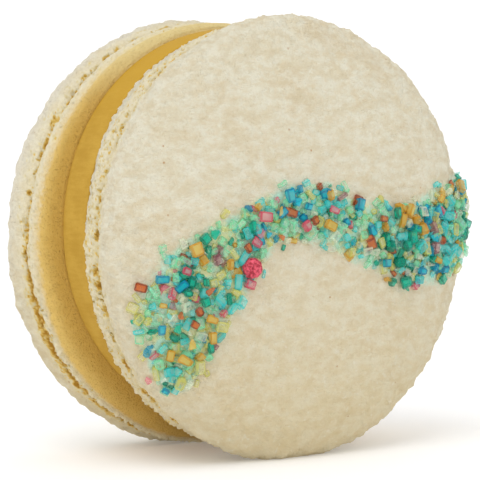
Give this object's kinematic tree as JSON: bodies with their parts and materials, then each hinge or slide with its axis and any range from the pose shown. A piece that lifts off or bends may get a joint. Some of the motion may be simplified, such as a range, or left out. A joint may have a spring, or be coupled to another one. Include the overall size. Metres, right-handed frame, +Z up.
{
  "type": "french macaron",
  "caption": "Round almond sandwich biscuit standing on its edge: two domed shells with frilled feet and a disc of filling, with coarse sugar on one face.",
  "frame": {"origin": "middle of the footprint, on the surface the biscuit stands on", "axes": "+Z up; the biscuit's axis lies along Y and the sugared shell faces -Y"},
  "size_m": [0.0455, 0.0274, 0.0451],
  "materials": {
    "shell": "matt baked almond shell, cream, finely pored, tanner below",
    "filling": "smooth satin cream filling, mustard yellow",
    "sugar": "coarse translucent sugar crystals in mint, teal, blue, amber, rust, rose and clear"
  },
  "bodies": {
    "root": {"front_shell": "shell", "back_shell": "shell", "filling": "filling"}
  },
  "joints": []
}
